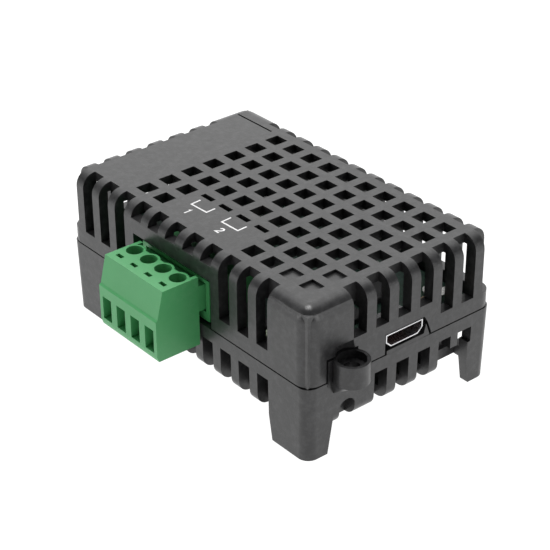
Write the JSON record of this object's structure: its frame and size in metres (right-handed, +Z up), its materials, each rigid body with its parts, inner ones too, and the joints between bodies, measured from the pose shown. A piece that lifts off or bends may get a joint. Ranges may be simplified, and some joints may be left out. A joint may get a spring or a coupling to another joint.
{
  "type": "vented electronics module with screw terminal",
  "caption": "Vented two-part plastic case on feet, holding a control board, with a pluggable screw terminal on one side and a small data socket on one end.",
  "frame": {"origin": "middle of the bounding box, on the plane the feet stand on", "axes": "+X along the case towards the data socket, -Y out of the terminal's wire side, +Z up"},
  "size_m": [0.0712, 0.048, 0.0269],
  "materials": {
    "bright_screw": "zinc plated steel",
    "capacitor_tan": "fired ceramic",
    "bright_can": "pressed metal can",
    "dark_screw": "blackened steel",
    "board_green": "green solder mask over glass fibre laminate",
    "nickel_cage": "nickel plated",
    "sensor_white": "white moulding",
    "tinned_pin": "tin plated",
    "case_black_lower": "fine moulded texture, satin black",
    "case_black_upper": "fine moulded texture, satin black",
    "chip_black": "moulded chip package",
    "tinned_contact": "tin plated spring bronze",
    "terminal_green_plug": "moulded green, slightly satin",
    "inductor_grey": "moulded ferrite",
    "resistor_black": "glazed thick film",
    "socket_steel": "plated folded steel",
    "socket_insulator": "moulded black insulator",
    "lamp_clear": "clear resin, unlit",
    "terminal_green_header": "moulded green",
    "zinc_screw": "zinc plated steel"
  },
  "bodies": {
    "case": {"board_screw_1": "bright_screw", "board_screw_2": "bright_screw", "capacitor_1": "capacitor_tan", "capacitor_2": "capacitor_tan", "capacitor_can": "bright_can", "case_screw_1": "dark_screw", "case_screw_2": "dark_screw", "circuit_board": "board_green", "climate_sensor": "sensor_white", "crystal": "bright_can", "header_pin_1": "tinned_pin", "header_pin_2": "tinned_pin", "header_pin_3": "tinned_pin", "header_pin_4": "tinned_pin", "housing_lower": "case_black_lower", "housing_upper": "case_black_upper", "microcontroller": "chip_black", "optocoupler_1": "chip_black", "optocoupler_2": "chip_black", "power_inductor": "inductor_grey", "resistor_1": "resistor_black", "resistor_2": "resistor_black", "socket_shell": "socket_steel", "socket_tongue": "socket_insulator", "status_lamp": "lamp_clear", "terminal_header": "terminal_green_header", "usb_bridge_chip": "chip_black", "voltage_regulator": "chip_black"},
    "plug": {"plug_housing": "terminal_green_plug", "plug_contact_1": "tinned_contact", "plug_contact_2": "tinned_contact", "plug_contact_3": "tinned_contact", "plug_contact_4": "tinned_contact"},
    "screw_1": {"terminal_screw_1": "zinc_screw"},
    "cage_1": {"clamp_cage_1": "nickel_cage"},
    "screw_2": {"terminal_screw_2": "zinc_screw"},
    "cage_2": {"clamp_cage_2": "nickel_cage"},
    "screw_3": {"terminal_screw_3": "zinc_screw"},
    "cage_3": {"clamp_cage_3": "nickel_cage"},
    "screw_4": {"terminal_screw_4": "zinc_screw"},
    "cage_4": {"clamp_cage_4": "nickel_cage"}
  },
  "joints": [
    {"name": "plug_pull", "type": "slide", "parent": "case", "child": "plug", "axis": [0, -1, 0], "range_m": [0, 0.012]},
    {"name": "terminal_screw_1_turn", "type": "hinge", "parent": "plug", "child": "screw_1", "pos_m": [-0.00791, -0.01811, 0.01785], "axis": [0, 0, -1], "range_deg": [0, 1081]},
    {"name": "clamp_cage_1_lift", "type": "slide", "parent": "plug", "child": "cage_1", "axis": [0, 0, 1], "range_m": [0, 0.0012]},
    {"name": "terminal_screw_2_turn", "type": "hinge", "parent": "plug", "child": "screw_2", "pos_m": [-0.0041, -0.01811, 0.01785], "axis": [0, 0, -1], "range_deg": [0, 1081]},
    {"name": "clamp_cage_2_lift", "type": "slide", "parent": "plug", "child": "cage_2", "axis": [0, 0, 1], "range_m": [0, 0.0012]},
    {"name": "terminal_screw_3_turn", "type": "hinge", "parent": "plug", "child": "screw_3", "pos_m": [-0.00029, -0.01811, 0.01785], "axis": [0, 0, -1], "range_deg": [0, 1081]},
    {"name": "clamp_cage_3_lift", "type": "slide", "parent": "plug", "child": "cage_3", "axis": [0, 0, 1], "range_m": [0, 0.0012]},
    {"name": "terminal_screw_4_turn", "type": "hinge", "parent": "plug", "child": "screw_4", "pos_m": [0.00352, -0.01811, 0.01785], "axis": [0, 0, -1], "range_deg": [0, 1081]},
    {"name": "clamp_cage_4_lift", "type": "slide", "parent": "plug", "child": "cage_4", "axis": [0, 0, 1], "range_m": [0, 0.0012]}
  ],
  "couplings": [
    {"joint": "terminal_screw_1_turn", "follows": "clamp_cage_1_lift", "rad_per_m": 15708},
    {"joint": "terminal_screw_2_turn", "follows": "clamp_cage_2_lift", "rad_per_m": 15708},
    {"joint": "terminal_screw_3_turn", "follows": "clamp_cage_3_lift", "rad_per_m": 15708},
    {"joint": "terminal_screw_4_turn", "follows": "clamp_cage_4_lift", "rad_per_m": 15708}
  ]
}
